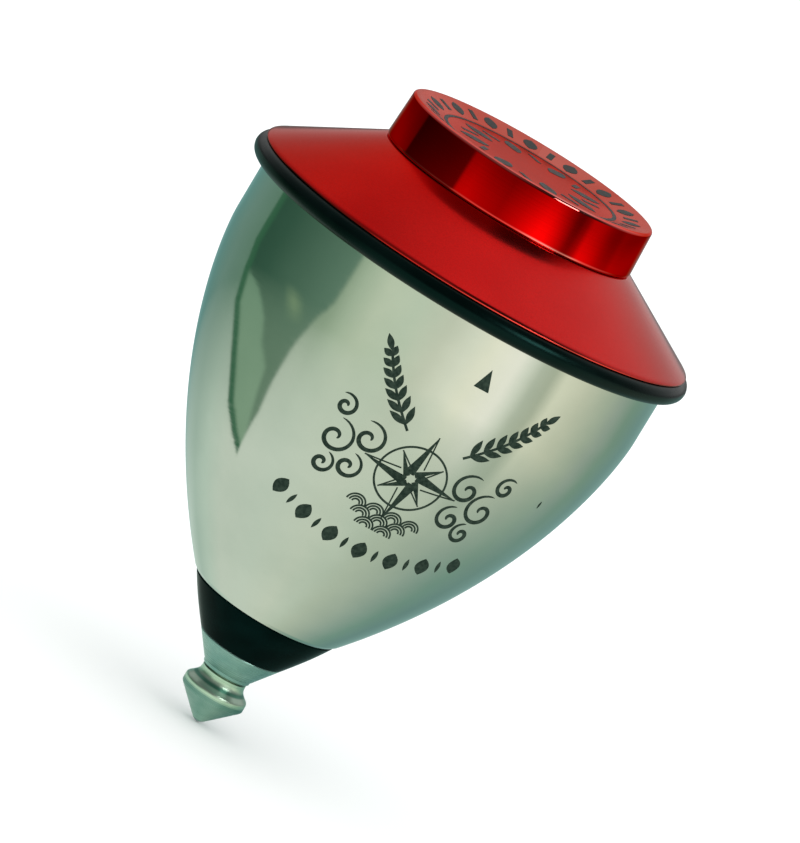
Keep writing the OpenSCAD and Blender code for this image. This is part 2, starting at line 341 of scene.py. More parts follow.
class Shader(Nodes):
    """A Principled material."""

    def __init__(self, name, color, metallic=0.0, roughness=0.5, **sockets):
        super().__init__(name)
        self.bsdf = self.tree.nodes["Principled BSDF"]
        self.set(self.bsdf, {"Base Color": (*color, 1), "Metallic": metallic, "Roughness": roughness})
        self.set(self.bsdf, {key.replace("_", " "): value for key, value in sockets.items()})

    def color(self, value):
        self.link(value, self.bsdf.inputs["Base Color"])

    def roughness(self, value):
        self.link(value, self.bsdf.inputs["Roughness"])

    def bump(self, *layers):
        """Stacks bumps; each layer is (height socket, depth in metres, strength)."""
        normal = None
        for height, depth, strength in layers:
            made = self.node("ShaderNodeBump")
            self.set(made, {"Distance": depth, "Strength": strength})
            self.link(height, made.inputs["Height"])
            if normal is not None:
                self.link(normal, made.inputs["Normal"])
            normal = made.outputs[0]
        self.link(normal, self.bsdf.inputs["Normal"])


# ---------------------------------------------------------------- materials

def polished_steel():
    """The body: near mirror, with faint clouds, smudges and polishing lines."""
    s = Shader("polished_steel", (0.545, 0.565, 0.52), 1.0, 0.09)
    cloud = s.noise(110, 4)
    lines = s.lathe_lines(0.0006, 4)
    s.color(s.mix(s.clouds(cloud), (0.52, 0.545, 0.50), (0.57, 0.585, 0.54)))
    smudge = s.noise(45, 5, (1, 1, 0.6))
    s.roughness(s.math("ADD", s.remap(smudge, 0.3, 0.7, 0.05, 0.11), s.remap(lines, 0.3, 0.7, 0.0, 0.03)))
    s.bump((lines, 0.00001, 0.12), (cloud, 0.0004, 0.03))
    return s.material


def turned_steel():
    """The nose: fine turning lines, and duller than the body."""
    s = Shader("turned_steel", (0.22, 0.34, 0.30), 0.65, 0.26)
    lines = s.lathe_lines(0.00022, 3)
    cloud = s.noise(420, 3)
    s.color(s.mix(s.clouds(cloud), (0.15, 0.30, 0.265), (0.215, 0.365, 0.32)))
    s.roughness(s.remap(lines, 0.3, 0.7, 0.18, 0.34))
    s.bump((lines, 0.00004, 0.25))
    return s.material


def tip_steel_painted_sheen():
    """The tip: its cone is dull; its waist and bead carry a painted highlight, and the crease under its
    waist a painted shade.
    """
    s = Shader("tip_steel_painted_sheen", (0.30, 0.42, 0.34), 0.95, 0.3)
    lines = s.lathe_lines(0.00022, 3)
    soft = s.clouds(s.noise(420, 3))
    dull = s.mix(soft, (0.125, 0.255, 0.22), (0.185, 0.315, 0.28))
    # painted highlight: the lighter tone on the bead and waist stands in for the reflection of a bright
    # window
    bright = s.mix(soft, (0.42, 0.57, 0.45), (0.52, 0.66, 0.54))
    # painted shade: the crease under the waist gets the dark tone given below
    under_waist = s.math("SUBTRACT", 1.0, s.above(TIP_CORNER_HIGH))
    painted_crease_shade = s.math("MULTIPLY", s.above(TIP_CORNER_LOW), under_waist)
    s.color(s.mix(s.above(TIP_CONE_TOP), dull, s.mix(painted_crease_shade, bright, (0.11, 0.29, 0.21))))
    s.roughness(s.remap(lines, 0.3, 0.7, 0.26, 0.38))
    s.bump((lines, 0.00003, 0.12))
    return s.material


def satin_red():
    """The crown: satin, with a painted highlight along the edge of its rim and a painted sheen at its right
    from a thicker clear coating.
    """
    s = Shader("satin_red_anodised", (0.60, 0.004, 0.004), 1.0, 0.26, Coat_Weight=0.6, Coat_IOR=1.25,
               Coat_Roughness=0.26, Specular_Tint=(1.0, 0.5, 0.46, 1))
    grain = s.noise(5200, 2)
    cloud = s.noise(90, 3)
    lines = s.lathe_lines(0.0004, 3)
    # painted highlight: the rim's edge is lightened most towards the camera's right, where a light glints
    shine = s.ramp(s.bearing(), [(0.30, 0.12), (0.47, 0.25), (0.54, 0.9), (0.60, 0.9), (0.68, 0.2)])
    edge = s.math("MULTIPLY", s.outside(CROWN_RIM_R - 0.10, CROWN_RIM_R - 0.04), shine)
    base = s.mix(s.clouds(cloud), (0.57, 0.003, 0.003), (0.64, 0.006, 0.005))
    speck = s.remap(grain, 0.35, 0.7, 0.0, 0.6)
    s.color(s.mix(edge, s.mix(speck, base, (0.47, 0.006, 0.006)), (0.95, 0.07, 0.055)))
    s.roughness(s.math("ADD", s.remap(lines, 0.3, 0.7, 0.10, 0.13), s.remap(grain, 0.3, 0.7, 0.0, 0.03)))
    # painted sheen: the clear layer is made stronger towards the right, where a light behind makes a sheen
    painted_sheen_coat = s.ramp(s.bearing(), [(0.34, 0.22), (0.42, 0.20), (0.50, 0.40), (0.578, 0.70), (0.66, 1.0)])
    s.link(painted_sheen_coat, s.bsdf.inputs["Coat Weight"])
    s.bump((grain, 0.00001, 0.12), (lines, 0.00001, 0.06))
    return s.material


def knob_face(s, soft):
    """Colour of the knob's dished top: plain in the middle, with a painted sheen at its sides, and pale on
    its rim.
    """
    plain = s.mix(soft, (0.56, 0.072, 0.060), (0.64, 0.105, 0.088))
    rim = s.mix(s.noise(700, 3), (0.62, 0.30, 0.27), (0.78, 0.50, 0.46))
    # painted sheen: the dish is made pale at its left and right as seen from the camera
    painted_side_sheen = s.ramp(s.bearing(), [(0.0, 0.0), (0.12, 0.1), (0.22, 0.9), (0.36, 0.3), (0.64, 0.1),
                                 (0.78, 0.8), (0.88, 0.1)])
    plain_slope = s.mix(s.noise(260, 3), (0.50, 0.16, 0.135), (0.60, 0.23, 0.20))
    slope = s.mix(painted_side_sheen, plain_slope, (0.85, 0.50, 0.47))
    painted_floor_sheen = s.math("MULTIPLY", painted_side_sheen, s.outside(5, 11))
    floor = s.mix(painted_floor_sheen, plain, (0.92, 0.37, 0.33))
    dish = s.mix(s.outside(DISH_R - 0.4, DISH_R + 0.4), floor, slope)
    return s.mix(s.outside(LAND_R - 0.06, LAND_R + 0.04), dish, rim)


def gloss_red():
    """The knob: mirror red at the side, with painted highlights on its rounded edges, and dull on its
    dished top face.
    """
    s = Shader("gloss_red_anodised", (0.86, 0.0008, 0.0008), 1.0, 0.07, Specular_Tint=(1.0, 0.30, 0.26, 1))
    cloud = s.noise(120, 3)
    soft = s.clouds(cloud)
    lines = s.lathe_lines(0.0005, 3)
    side = s.mix(soft, (0.83, 0.0006, 0.0006), (0.89, 0.001, 0.001))
    # painted highlight: the rounded edges are made pale, most of all towards the camera's right, where a
    # window glints
    shine = s.ramp(s.bearing(), [(0.40, 0.14), (0.52, 0.22), (0.545, 0.9), (0.59, 0.9), (0.615, 0.25),
                                 (0.75, 0.12)])
    top_edge = s.above((KNOB_TOP - 0.36, KNOB_TOP - 0.18))
    foot_edge = s.math("SUBTRACT", 1.0, s.above((KNOB_FOOT + 0.30, KNOB_FOOT + 0.50)))
    painted_top_glint = s.math("MULTIPLY", top_edge, s.math("MAXIMUM", shine, 0.5))
    rounded = s.math("ADD", s.math("MULTIPLY", foot_edge, shine), painted_top_glint)
    face_r = KNOB_TOP_R - KNOB_ROUND
    on_side = s.outside(face_r - 0.02, face_r + 0.10)
    s.color(s.mix(on_side, knob_face(s, soft), s.mix(rounded, side, (0.82, 0.30, 0.27))))
    duller_face = s.remap(on_side, 0.0, 1.0, 0.16, 0.0)
    s.roughness(s.math("ADD", s.remap(cloud, 0.3, 0.7, 0.05, 0.09), duller_face))
    s.bump((lines, 0.00001, 0.06))
    return s.material


def black_rubber():
    """The bumper ring: nearly black, with a weak soft shine."""
    s = Shader("black_rubber", (0.002, 0.004, 0.004), 0.0, 0.3, Specular_IOR_Level=0.13,
               Specular_Tint=(0.25, 1.0, 0.9, 1))
    grain = s.noise(4000, 3)
    cloud = s.noise(160, 3)
    s.color(s.mix(s.remap(cloud, 0.35, 0.7, 0, 1), (0.0003, 0.0014, 0.0012), (0.0010, 0.0030, 0.0026)))
    s.roughness(s.remap(cloud, 0.3, 0.7, 0.24, 0.34))
    s.bump((grain, 0.00002, 0.08))
    return s.material


def gloss_black():
    """The collar: nearly black and smooth."""
    s = Shader("gloss_black_collar", (0.001, 0.004, 0.004), 0.0, 0.14, Specular_IOR_Level=0.015,
               Specular_Tint=(0.15, 1.0, 0.85, 1))
    cloud = s.noise(300, 3)
    lines = s.lathe_lines(0.0003, 3)
    s.color(s.mix(s.remap(cloud, 0.35, 0.7, 0, 1), (0.0003, 0.0032, 0.0028), (0.0007, 0.0062, 0.0054)))
    s.roughness(s.math("ADD", s.remap(cloud, 0.3, 0.7, 0.10, 0.18), s.remap(lines, 0.3, 0.7, 0.0, 0.06)))
    s.bump((lines, 0.00001, 0.15))
    return s.material


def black_print():
    """Ink on the body."""
    s = Shader("black_print", (0.014, 0.028, 0.019), 0.0, 0.45, Specular_IOR_Level=0.08)
    grain = s.noise(2500, 3)
    s.color(s.mix(s.remap(grain, 0.35, 0.7, 0, 1), (0.008, 0.019, 0.013), (0.026, 0.044, 0.031)))
    s.roughness(s.remap(grain, 0.3, 0.7, 0.35, 0.55))
    s.bump((grain, 0.00001, 0.2))
    return s.material


def faded_print():
    """Ink on the knob, which is more worn."""
    s = Shader("faded_print", (0.03, 0.028, 0.028), 0.0, 0.4, Specular_IOR_Level=0.08)
    grain = s.noise(1500, 4)
    s.color(s.mix(s.remap(grain, 0.3, 0.65, 0, 1), (0.012, 0.024, 0.022), (0.036, 0.028, 0.026)))
    s.roughness(s.remap(grain, 0.3, 0.7, 0.3, 0.5))
    s.bump((grain, 0.00001, 0.2))
    return s.material


def inner_metal(name, dark, light, roughness, pitch):
    """A machined inner piece: two close tones and fine turning lines."""
    s = Shader(name, light, 1.0, roughness)
    lines = s.lathe_lines(pitch, 2)
    cloud = s.noise(350, 3)
    s.color(s.mix(s.clouds(cloud), dark, light))
    s.roughness(s.remap(lines, 0.3, 0.7, roughness * 0.8, roughness * 1.3))
    s.bump((lines, 0.00002, 0.3))
    return s.material


STEEL = polished_steel()
TURNED = turned_steel()
PAINTED_TIP_STEEL = tip_steel_painted_sheen()
SATIN_RED = satin_red()
GLOSS_RED = gloss_red()
RUBBER = black_rubber()
BLACK = gloss_black()
PRINT = black_print()
FADED = faded_print()

INNER = {
    "plain_aluminium": inner_metal("plain_aluminium", (0.70, 0.71, 0.72), (0.82, 0.83, 0.84), 0.3, 0.00025),
    "plated_steel": inner_metal("plated_steel", (0.52, 0.51, 0.46), (0.68, 0.67, 0.62), 0.35, 0.0004),
    "spring_steel": inner_metal("spring_steel", (0.07, 0.07, 0.08), (0.14, 0.14, 0.15), 0.4, 0.0002),
    "bearing_steel": inner_metal("bearing_steel", (0.66, 0.66, 0.66), (0.78, 0.78, 0.77), 0.12, 0.0002),
    "cage_brass": inner_metal("cage_brass", (0.62, 0.44, 0.16), (0.78, 0.60, 0.26), 0.3, 0.0003),
}
for row in frame["record"]["subparts"]:
    if row["material_slot"] in INNER:
        carried = frame["nodes"][row["node"]]
        carried.data.materials.clear()
        carried.data.materials.append(INNER[row["material_slot"]])


# ---------------------------------------------------------------- outer pieces

def build_shell():
    """The body's inside follows its outside, moved inwards and up, down to a flat floor."""
    inwards = BODY_WALL * 0.9
    upwards = BODY_WALL * 0.45
    floor_z = BODY_FOOT + 1.4
    hole_r = 4.5
    lip = 0.15
    inner = [(min(r - inwards, BODY_R - BODY_WALL), z + upwards)
             for r, z in reversed(BODY_CURVE) if z > floor_z + 0.2]
    outline = [(hole_r, BODY_FOOT), (BODY_LOW_R - lip, BODY_FOOT)]
    outline += [(r, z) for r, z in BODY_CURVE if z > BODY_FOOT + lip]
    outline += [(BODY_R, MOUTH_Z - lip), (BODY_R - lip, MOUTH_Z), (BODY_R - BODY_WALL, MOUTH_Z)]
    outline += inner + [(inner[-1][0] - 0.3, floor_z), (hole_r, floor_z)]
    turned("shell_skin", outline, "body_shell", "top_body", STEEL, closed=True)


def build_knob():
    """The knob is round at both edges of its side, and its dish blends softly into its floor."""
    land_round = 0.12
    blend = 0.2
    bore_top = top_of("centre_stud")
    outline = [(0, bore_top), (THREAD_R, bore_top), (THREAD_R, KNOB_FOOT)]
    outline += arc(KNOB_LOW_R - KNOB_ROUND, KNOB_FOOT + KNOB_ROUND, KNOB_ROUND, -90, 0, 8)
    outline += arc(KNOB_TOP_R - KNOB_ROUND, KNOB_TOP - KNOB_ROUND, KNOB_ROUND, 0, 90, 8)
    outline += arc(LAND_R, KNOB_TOP - land_round, land_round, 90, 104, 3)
    outline += [(DISH_R + blend, DISH_Z + 0.05), (DISH_R, DISH_Z + 0.01), (DISH_R - blend, DISH_Z)]
    outline += [(0, DISH_Z)]
    turned("knob_skin", outline, "crown_knob", "top_body", GLOSS_RED)


def build_crown():
    """The crown's slope turns down softly at its rim; its wall is even below the slope."""
    rim_w = CROWN_RIM_R - CROWN_SLOPE_R
    rim = [
        (CROWN_SLOPE_R, CROWN_SLOPE_Z),
        (CROWN_SLOPE_R + 0.4 * rim_w, CROWN_SLOPE_Z - 0.4 * rim_w * CROWN_SLOPE),
        (CROWN_SLOPE_R + 0.9 * rim_w, CROWN_FOOT + CROWN_LAND + 0.2),
        (CROWN_RIM_R, CROWN_FOOT + CROWN_LAND),
    ]
    seat_r = 22.7
    drop = CROWN_WALL * math.hypot(1, CROWN_SLOPE)
    seat_z = CROWN_SLOPE_Z + (CROWN_SLOPE_R - seat_r) * CROWN_SLOPE - drop
    ceiling_z = KNOB_FOOT - drop
    bore_r = THREAD_R + 0.1
    outline = [(bore_r, KNOB_FOOT), (KNOB_LOW_R - 0.4, KNOB_FOOT), (KNOB_LOW_R + 0.1, KNOB_FOOT - 0.06)]
    outline += cubic(rim, steps=20)
    outline += [(CROWN_RIM_R, CROWN_FOOT + 0.05), (CROWN_RIM_R - 0.05, CROWN_FOOT), (seat_r, CROWN_FOOT)]
    outline += [(seat_r, seat_z), (KNOB_LOW_R, ceiling_z), (bore_r, ceiling_z)]
    turned("crown_skin", outline, "crown_cap", "top_body", SATIN_RED, closed=True)


def build_bumper():
    """The rubber ring is round in section."""
    section_r = (top_of("bumper_ring") - foot_of("bumper_ring")) / 2
    centre_r = radius_of("bumper_ring") - section_r
    outline = arc(centre_r, foot_of("bumper_ring") + section_r, section_r, 0, 360, 48)[:-1]
    turned("bumper_skin", outline, "bumper_ring", "top_body", RUBBER, closed=True)


def build_collar():
    """The collar's side bulges slightly between the seam with the nose and the body."""
    handle = 1.9
    side = cubic([
        (SEAM_R, COLLAR_FOOT),
        (SEAM_R + handle * 0.76, COLLAR_FOOT + handle),
        (COLLAR_TOP_R - handle * 0.56, COLLAR_TOP - handle),
        (COLLAR_TOP_R, COLLAR_TOP),
    ], steps=48)
    outline = [(BARREL_R, COLLAR_FOOT), (SEAM_R - SEAM_GROOVE, COLLAR_FOOT)] + side[1:-2]
    outline += [(COLLAR_TOP_R - 0.2, COLLAR_TOP), (BARREL_R, COLLAR_TOP)]
    turned("collar_skin", outline, "grip_collar", "top_body", BLACK, closed=True)


def build_nose():
    """A short neck, the cone, and above the seam the barrel that holds the two bearings."""
    lip_r = 2.4
    housing_r = 3.5
    barrel_top = top_of("nose_cone")
    race_z = foot_of("lower_outer_race")
    cone_foot_r = NOSE_LOW_R + 0.2
    growth = (SEAM_R - cone_foot_r) / (COLLAR_FOOT - NECK_TOP)
    outline = [(lip_r, NOSE_FOOT), (NOSE_LOW_R - 0.1, NOSE_FOOT), (NOSE_LOW_R, NOSE_FOOT + 0.1)]
    outline += [(NOSE_LOW_R + 0.04, NECK_TOP - 0.12), (cone_foot_r, NECK_TOP)]
    outline += [(SEAM_R - 0.1 * growth, COLLAR_FOOT - 0.1), (SEAM_R - SEAM_GROOVE, COLLAR_FOOT)]
    outline += [(BARREL_R, COLLAR_FOOT)]
    outline += [(BARREL_R, barrel_top - 0.3), (BARREL_R - 0.3, barrel_top), (housing_r, barrel_top)]
    outline += [(housing_r, race_z), (lip_r, race_z)]
    turned("nose_skin", outline, "nose_cone", "top_body", TURNED, closed=True)


def build_tip():
    """A rounded 45 degree point, a bead with a round shoulder, a waist, and the shank inside the nose."""
    head_r = radius_of("swivel_tip")
    point_r = 1.1
    head_round = 0.4
    head_flat = 0.65
    shoulder_round = 0.5
    shoulder_angle = 50
    waist_r = 2.8
    waist_handle = 0.75
    waist_top = NOSE_FOOT - TIP_GAP
    waist_straight = 0.2
    neck_r = 2.05
    shank_r = 1.5
    race_z = foot_of("lower_inner_race")
    shank_top = top_of("swivel_tip")
    head_z = head_r + (head_round - point_r) * (math.sqrt(2) - 1)
    shoulder = arc(head_r - shoulder_round, head_z + head_flat, shoulder_round, 0, shoulder_angle, 8)
    last_r, last_z = shoulder[-1]
    lean = math.radians(shoulder_angle)
    waist = [
        (last_r, last_z),
        (last_r - waist_handle * math.sin(lean), last_z + waist_handle * math.cos(lean)),
        (waist_r, waist_top - waist_straight - waist_handle),
        (waist_r, waist_top - waist_straight),
    ]
    outline = [(0, 0)] + arc(0, point_r, point_r, -90, -45, 10)[1:]
    outline += arc(head_r - head_round, head_z, head_round, -45, 0, 8)
    outline += shoulder + cubic(waist, steps=16)[1:]
    outline += [(waist_r, waist_top), (neck_r, waist_top), (neck_r, race_z), (shank_r, race_z)]
    outline += [(shank_r, shank_top - 0.2), (shank_r - 0.2, shank_top), (0, shank_top)]
    turned("tip_skin", outline, "swivel_tip", "tip", PAINTED_TIP_STEEL)


build_shell()
build_knob()
build_crown()
build_bumper()
build_collar()
build_nose()
build_tip()


# ---------------------------------------------------------------- printed ornament

PRINT_LIFT = 0.03         # millimetres that the ink stands above the metal
PRINT_ROOT = 0.04         # millimetres that it goes into it
THINNEST = 0.01           # half width at a ribbon's point
EMBLEM_ANGLE = math.radians(15.0)
EMBLEM_X = 0.3            # middle of the star, the ring and the waves, round the body
LEAF = 0.8                # width of a sprig's leaves


def on_shell(x, z, lift):
    """Point x millimetres round the body from the emblem's middle, at height z."""
    r = body_radius(z)
    step = 0.2
    slope = math.atan2(body_radius(z + step) - body_radius(z - step), 2 * step)
    angle = EMBLEM_ANGLE + x / r
    r += lift * math.cos(slope)
    return Vector((r * math.sin(angle), -r * math.cos(angle), z - lift * math.sin(slope))) * MM


def on_dish(x, y, lift):
    """Point of the knob's dished top face: flat in the middle, then sloping up to the rim."""
    rise = max(0, math.hypot(x, y) - DISH_R) * (KNOB_TOP - DISH_Z) / (LAND_R - DISH_R)
    return Vector((x, y, DISH_Z + rise + lift)) * MM


def ribbon(bm, place, points, left, right, loop=False):
    """A closed flat strip along points; left and right are its half widths as functions of 0..1."""
    count = len(points)
    rows = []
    for i, point in enumerate(points):
        before = Vector(points[(i - 1) % count if loop else max(i - 1, 0)])
        after = Vector(points[(i + 1) % count if loop else min(i + 1, count - 1)])
        along = (after - before).normalized()
        across = Vector((-along.y, along.x))
        t = i / (count if loop else count - 1)
        a = Vector(point) + across * max(left(t), THINNEST)
        b = Vector(point) - across * max(right(t), THINNEST)
        rows.append([bm.verts.new(place(p.x, p.y, lift)) for p, lift in
                     ((a, PRINT_LIFT), (b, PRINT_LIFT), (b, -PRINT_ROOT), (a, -PRINT_ROOT))])
    for first, second in zip(rows, rows[1:] + ([rows[0]] if loop else [])):
        for k in range(4):
            bm.faces.new((first[k], first[(k + 1) % 4], second[(k + 1) % 4], second[k]))
    if not loop:
        bm.faces.new(rows[0][::-1])
        bm.faces.new(rows[-1])


def line(a, b, steps=8):
    """Points of a straight line from a to b."""
    return [tuple(a[k] + (b[k] - a[k]) * i / steps for k in (0, 1)) for i in range(steps + 1)]


def even(width):
    """A constant half width."""
    return lambda t: width / 2


def swell(width, power=1.0):
    """A half width that grows from nothing to its full value and back."""
    return lambda t: width / 2 * math.sin(math.pi * t) ** power


def taper(width):
    """A half width that shrinks to nothing."""
    return lambda t: width / 2 * (1 - t)


def circle(cx, cz, r, steps):
    """Points round (cx, cz), without the first one again at the end."""
    return arc(cx, cz, r, 0, 360, steps)[:-1]


def scroll(cx, cz, size, side, start):
    """A wave curl: a spiral that opens out from (cx, cz) into a long tail. side is 1 or -1."""
    turns = 1.35
    steps = 45
    eye = 0.12
    points = []
    for i in range(steps + 1):
        t = i / steps
        angle = math.radians(start - 360 * turns * t)
        r = size * (eye + (1 - eye) * t ** 1.15)
        points.append((cx + side * r * math.cos(angle), cz + r * math.sin(angle)))
    return points


def compass_star(bm, place, cx, cz, long, short):
    """An eight-pointed star. One half of each point is filled and the other is outlined."""
    core = 0.5
    outline = even(0.16)
    for k in range(8):
        reach = long if k % 2 == 0 else short
        width = reach * 0.2
        heading = math.radians(90 + 45 * k)
        tip = (cx + reach * math.cos(heading), cz + reach * math.sin(heading))
        root = (cx + core * math.cos(heading), cz + core * math.sin(heading))
        ribbon(bm, place, line(root, tip, 10), taper(2 * width), even(0.06))
        side = heading - math.radians(22)
        shoulder = (cx + width * 1.5 * math.cos(side), cz + width * 1.5 * math.sin(side))
        ribbon(bm, place, line(shoulder, tip, 10), outline, outline)


def sprig(bm, place, x0, z0, x1, z1, side):
    """A leafy twig from (x0, z0) to (x1, z1), with leaves on both sides."""
    steps = 14
    bend = 0.5
    leaf = swell(LEAF)
    leaf_length = 2.5
    shrink = 0.09
    end_length = 2.0
    shares = [i / steps for i in range(steps + 1)]
    stem = [(x0 + (x1 - x0) * t + side * bend * math.sin(math.pi * t), z0 + (z1 - z0) * t) for t in shares]
    ribbon(bm, place, stem, even(0.3), even(0.3))
    heading = math.atan2(z1 - z0, x1 - x0)
    for i in range(1, steps, 2):
        x, z = stem[i]
        length = leaf_length - shrink * i
        for spread in (0.62, -0.62):
            a = heading + spread
            end = (x + length * math.cos(a), z + length * math.sin(a))
            ribbon(bm, place, line((x, z), end), leaf, leaf)
    tip = (x1 + end_length * math.cos(heading), z1 + end_length * math.sin(heading))
    ribbon(bm, place, line((x1, z1), tip), leaf, leaf)


def wave_scale(bm, place, cx, cz, r):
    """Three nested arches, as in an old wave pattern."""
    for part in (1.0, 0.7, 0.4):
        ribbon(bm, place, arc(cx, cz, r * part, 0, 180, 16), even(0.2), even(0.2))


def lozenge_row(bm, place):
    """Large and small lozenges in turn, as (half length, width), on a row that curves up at its ends."""
    large = (1.2, 1.75)
    small = (0.85, 0.5)
    middle = 6
    for k in range(2 * middle + 1):
        t = (k - middle) / middle
        x = 0.7 + 11.6 * t
        z = 30.8 + 2.5 * t * t + 0.5 * t
        tilt = math.radians(90) + 0.3 * t
        half, width = small if k % 2 else large
        ends = [(x + d * half * math.cos(tilt), z + d * half * math.sin(tilt)) for d in (-1, 1)]
        ribbon(bm, place, line(*ends), swell(width, 0.8), swell(width, 0.8))


def build_emblem():
    """A compass star over waves, curls and sprigs beside it, and lozenges in place of a name."""
    bm = bmesh.new()
    star_z = 41.6
    compass_star(bm, on_shell, EMBLEM_X, star_z, long=5.9, short=3.7)
    ribbon(bm, on_shell, circle(EMBLEM_X, star_z, 4.0, 64), even(0.24), even(0.24), loop=True)
    # each curl: distance from the middle, height, size, and the direction that it starts in
    curls = ((6.5, 43.3, 2.2, 190), (9.7, 41.5, 2.4, 205), (6.7, 39.2, 1.8, 215), (10.7, 45.3, 1.5, 180),
             (9.3, 38.0, 1.5, 220))
    stroke = swell(0.5, 0.4)
    for side in (1, -1):
        for away, z, size, start in curls:
            ribbon(bm, on_shell, scroll(EMBLEM_X + side * away, z, size, side, start), stroke, stroke)
    for row in range(3):
        count = 4 - row
        for k in range(count):
            x = EMBLEM_X + 2.3 * (k - (count - 1) / 2)
            wave_scale(bm, on_shell, x, 35.9 - 1.05 * row, 1.1)
    sprig(bm, on_shell, -3.2, 46.4, -9.4, 53.4, -1)
    sprig(bm, on_shell, 3.9, 46.6, 10.4, 54.2, 1)
    lozenge_row(bm, on_shell)
    bmesh.ops.recalc_face_normals(bm, faces=bm.faces)
    stand_for(finish_mesh(bm, "shell_emblem", PRINT), None, "top_body")


def build_pointer():
    """The small filled triangle near the body's mouth, and a short dash at the side."""
    bm = bmesh.new()
    x, z, height, width = 1.2, 54.6, 2.5, 1.9
    ribbon(bm, on_shell, line((x, z), (x, z + height)), taper(width), taper(width))
    dash_x, dash_z = 17.3, 44.4
    ribbon(bm, on_shell, line((dash_x, dash_z), (dash_x, dash_z + 1.0), 6), swell(0.3), swell(0.3))
    bmesh.ops.recalc_face_normals(bm, faces=bm.faces)
    stand_for(finish_mesh(bm, "shell_pointer", PRINT), None, "top_body")


def polar(r, degrees):
    """Point at radius r in a direction, on the knob's face."""
    return (r * math.cos(math.radians(degrees)), r * math.sin(math.radians(degrees)))


def build_knob_print():
    """A ring with lozenges and bars on the slope outside it, and plain leaves and bars inside it."""
    bm = bmesh.new()
    ring_r = 11.05
    ribbon(bm, on_dish, circle(0, 0, ring_r, 128), even(0.5), even(0.5), loop=True)
    # each mark: inner and outer radius, and its width
    lozenge = (11.95, 14.1, swell(1.9, 0.7))
    short_bar = (12.2, 13.9, even(0.75))
    marks = 30
    for k in range(marks):
        way = 360 * k / marks
        low, high, width = short_bar if k % 2 else lozenge
        ribbon(bm, on_dish, line(polar(low, way), polar(high, way), 6), width, width)
    leaves = 8
    leaf = swell(2.2, 0.8)
    bar = even(0.7)
    slant = 5
    for k in range(leaves):
        way = 360 * (k + 0.5) / leaves
        ribbon(bm, on_dish, line(polar(5.6, way), polar(9.6, way), 10), leaf, leaf)
        way += 180 / leaves
        ribbon(bm, on_dish, line(polar(7.0, way - slant), polar(8.9, way + slant), 6), bar, bar)
    bmesh.ops.recalc_face_normals(bm, faces=bm.faces)
    stand_for(finish_mesh(bm, "knob_print", FADED), None, "top_body")


build_emblem()
build_pointer()
build_knob_print()


# ---------------------------------------------------------------- studio

def only_in_reflections(obj):
    """Studio cards and the light tent show in polished metal and nowhere else."""
    obj.visible_camera = False
    obj.visible_diffuse = False
    obj.visible_shadow = False
    obj.visible_transmission = False


class Glow(Nodes):
    """An emission material for what the polished metals reflect."""

    def __init__(self, name):
        super().__init__(name)
        self.tree.nodes.remove(self.tree.nodes["Principled BSDF"])
        self.emission = self.node("ShaderNodeEmission")
        self.link(self.emission.outputs[0], self.tree.nodes["Material Output"].inputs["Surface"])


def by_bearing(*stops):
    """Ramp stops from (degrees to the camera's right, tone) pairs."""
    return [((angle + 180) / 360, tone) for angle, tone in stops]


TENT_R = 0.2
TENT_RISE = 0.03
WALL_SHARE = 0.985        # part of the tent's radius from which a point counts as wall

# Where the tent's numbers come from: scratch scripts sampled the photograph on the body, the crown and
# the knob, traced each sample to a bearing and a height on the tent, and divided it by the metal's
# colour. The tones and the panel's outline below are those values, rounded and then adjusted.

# What the body's side reflects: a bright window and a post at the right, dim walls at both sides.
AROUND_BODY = by_bearing(
    (-180, (0.27, 0.47, 0.47)), (-150, (0.15, 0.33, 0.30)), (-130, (0.20, 0.355, 0.295)),
    (-112, (0.19, 0.345, 0.26)), (-60, (0.36, 0.50, 0.36)), (-46, (0.45, 0.60, 0.43)),
    (-38, (0.62, 0.77, 0.58)), (-27, (0.80, 0.92, 0.72)), (-10, (0.84, 0.97, 0.78)),
    (6, (0.93, 0.985, 0.81)), (19, (1.13, 1.17, 0.99)), (28, (1.26, 1.26, 1.05)), (43, (1.32, 1.31, 1.18)),
    (49, (1.04, 1.10, 0.95)), (55, (0.71, 0.79, 0.64)), (62, (0.64, 0.71, 0.55)), (69, (1.08, 1.10, 0.88)),
    (84, (0.85, 0.89, 0.70)), (101, (0.60, 0.70, 0.55)), (112, (0.46, 0.57, 0.48)),
    (125, (0.28, 0.45, 0.35)), (142, (0.22, 0.385, 0.35)), (160, (0.24, 0.41, 0.38)),
    (180, (0.27, 0.47, 0.47)),
)
# The floor, which the lower half of the body reflects: bright at the left and dim at the right.
UNDER_BODY = by_bearing(
    (-180, (0.55, 0.68, 0.62)), (-146, (0.62, 0.77, 0.68)), (-126, (0.56, 0.73, 0.63)),
    (-105, (0.71, 0.88, 0.76)), (-80, (0.84, 0.95, 0.83)), (-40, (0.86, 0.98, 0.85)),
    (0, (0.87, 0.97, 0.82)), (22, (0.80, 0.92, 0.77)), (42, (0.70, 0.81, 0.66)), (63, (0.57, 0.69, 0.57)),
    (84, (0.41, 0.56, 0.475)), (105, (0.26, 0.45, 0.37)), (126, (0.205, 0.37, 0.34)),
    (150, (0.24, 0.42, 0.39)), (180, (0.55, 0.68, 0.62)),
)
FLOOR_FADE = (-0.150, -0.050)
